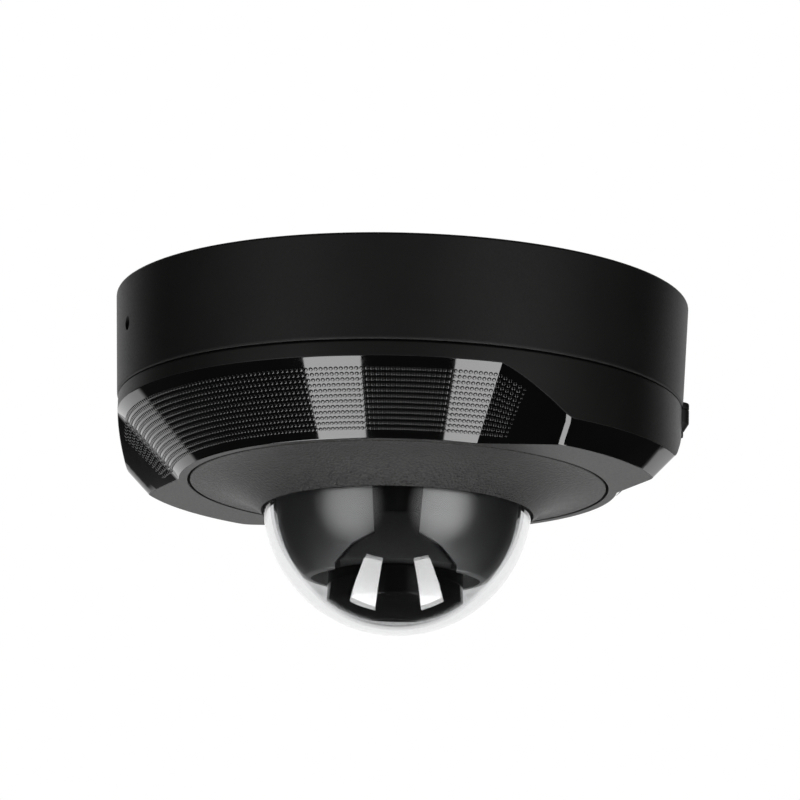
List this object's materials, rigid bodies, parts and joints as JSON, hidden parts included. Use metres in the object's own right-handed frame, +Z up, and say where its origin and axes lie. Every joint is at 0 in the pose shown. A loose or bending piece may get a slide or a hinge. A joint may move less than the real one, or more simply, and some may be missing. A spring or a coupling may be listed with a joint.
{
  "type": "dome cctv camera",
  "caption": "Compact black ceiling dome camera: round base, faceted cover with a dotted gloss chamfer, flared trim ring and clear dome over a pan, tilt and roll camera head.",
  "frame": {"origin": "centre of the flat mounting face that meets the ceiling", "axes": "+Z up, out of the mounting face into the ceiling; the dome hangs towards -Z; the camera tilts towards +Y at zero pan"},
  "size_m": [0.1104, 0.11, 0.0646],
  "materials": {
    "adhesive": "foam tape",
    "barrel_black": "black anodised",
    "button_grey": "moulded",
    "can_metal": "sleeved can",
    "cap_gloss": "polished black",
    "card_black": "moulded card",
    "cast_metal": "bead-blasted casting",
    "chip_black": "moulded epoxy",
    "circuit_board": "solder mask",
    "connector_white": "connector plastic",
    "cover_black": "satin band with polished facets",
    "dome_clear": "clear polycarbonate",
    "filter_blue": "coated filter",
    "foam": "closed-cell foam",
    "gold": "gold plated",
    "hood_matt": "matt black",
    "housing_black": "fine satin powder coat",
    "jack_shell": "plated shell",
    "led_clear": "clear resin",
    "lens_glass": "coated lens",
    "liner_dark": "dark semi-gloss",
    "low_friction": "acetal",
    "mic_metal": "plain",
    "plastic_black": "fine matt",
    "screw_steel": "machine screw",
    "sensor_dark": "sensor cover glass",
    "soft_rubber": "matt rubber",
    "spring_steel": "spring steel",
    "thermal_grey": "soft silicone",
    "transformer_black": "moulded",
    "trim_blasted": "fine sandblasted"
  },
  "bodies": {
    "base": {"base_housing": "housing_black", "ceiling_gasket": "foam", "cable_grommet": "soft_rubber", "microphone": "mic_metal", "microphone_boot": "soft_rubber", "chassis_plate": "cast_metal", "chassis_screws": "screw_steel", "main_board": "circuit_board", "board_screws": "screw_steel", "network_jack": "jack_shell", "jack_contacts": "gold", "processor_chip": "chip_black", "thermal_pad": "thermal_grey", "memory_chips": "chip_black", "power_transformer": "transformer_black", "capacitors": "can_metal", "ribbon_connector": "connector_white", "card_slot": "jack_shell", "reset_switch": "chip_black", "tamper_switch": "chip_black"},
    "memory_card": {"memory_card": "card_black"},
    "reset_button": {"reset_button": "button_grey"},
    "tamper_plunger": {"tamper_plunger": "low_friction"},
    "pan_unit": {"pan_turntable": "plastic_black", "pan_retainer": "spring_steel", "pan_friction_ring": "low_friction", "pan_yoke": "plastic_black", "yoke_screws": "screw_steel", "inner_liner": "liner_dark", "liner_screws": "screw_steel"},
    "tilt_unit": {"tilt_cradle": "plastic_black", "tilt_pivots": "screw_steel", "camera_hood": "hood_matt"},
    "camera_head": {"head_shell": "plastic_black", "roll_retainer": "spring_steel", "front_cap": "cap_gloss", "sensor_board": "circuit_board", "image_sensor": "sensor_dark", "lens_holder": "plastic_black", "filter_glass": "filter_blue", "lens_barrel": "barrel_black", "lens_front_glass": "lens_glass", "lens_inner_glasses": "lens_glass", "ir_board": "circuit_board", "ir_leds": "led_clear", "light_shield": "soft_rubber"},
    "cover": {"front_cover": "cover_black", "cover_seal": "soft_rubber", "trim_ring": "trim_blasted", "trim_adhesive": "adhesive", "dome_bubble": "dome_clear", "dome_gasket": "soft_rubber", "dome_clamp": "plastic_black", "clamp_screws": "screw_steel"},
    "locking_screw": {"locking_screw": "screw_steel"}
  },
  "joints": [
    {"name": "pan", "type": "hinge", "parent": "base", "child": "pan_unit", "pos_m": [0, 0, -0.02], "axis": [0, 0, 1], "range_deg": [-175, 175]},
    {"name": "tilt", "type": "hinge", "parent": "pan_unit", "child": "tilt_unit", "pos_m": [0, 0, -0.03888], "axis": [1, 0, 0], "range_deg": [0, 75]},
    {"name": "roll", "type": "hinge", "parent": "tilt_unit", "child": "camera_head", "pos_m": [0, 0, -0.045], "axis": [0, 0, 1], "range_deg": [-175, 175]},
    {"name": "cover_lift", "type": "slide", "parent": "base", "child": "cover", "axis": [0, 0, -1], "range_m": [0, 0.06]},
    {"name": "locking_screw_turn", "type": "hinge", "parent": "cover", "child": "locking_screw", "pos_m": [0.05297, -0.00185, -0.022], "axis": [0, 0, 1], "range_deg": [0, 720]},
    {"name": "reset_press", "type": "slide", "parent": "base", "child": "reset_button", "axis": [0, 0, 1], "range_m": [0, 0.0004], "stiffness_N_per_m": 900},
    {"name": "tamper_press", "type": "slide", "parent": "base", "child": "tamper_plunger", "axis": [0, 0, 1], "range_m": [0, 0.0004], "stiffness_N_per_m": 600},
    {"name": "card_eject", "type": "slide", "parent": "base", "child": "memory_card", "axis": [0.5, 0.866, 0], "range_m": [0, 0.007]}
  ]
}
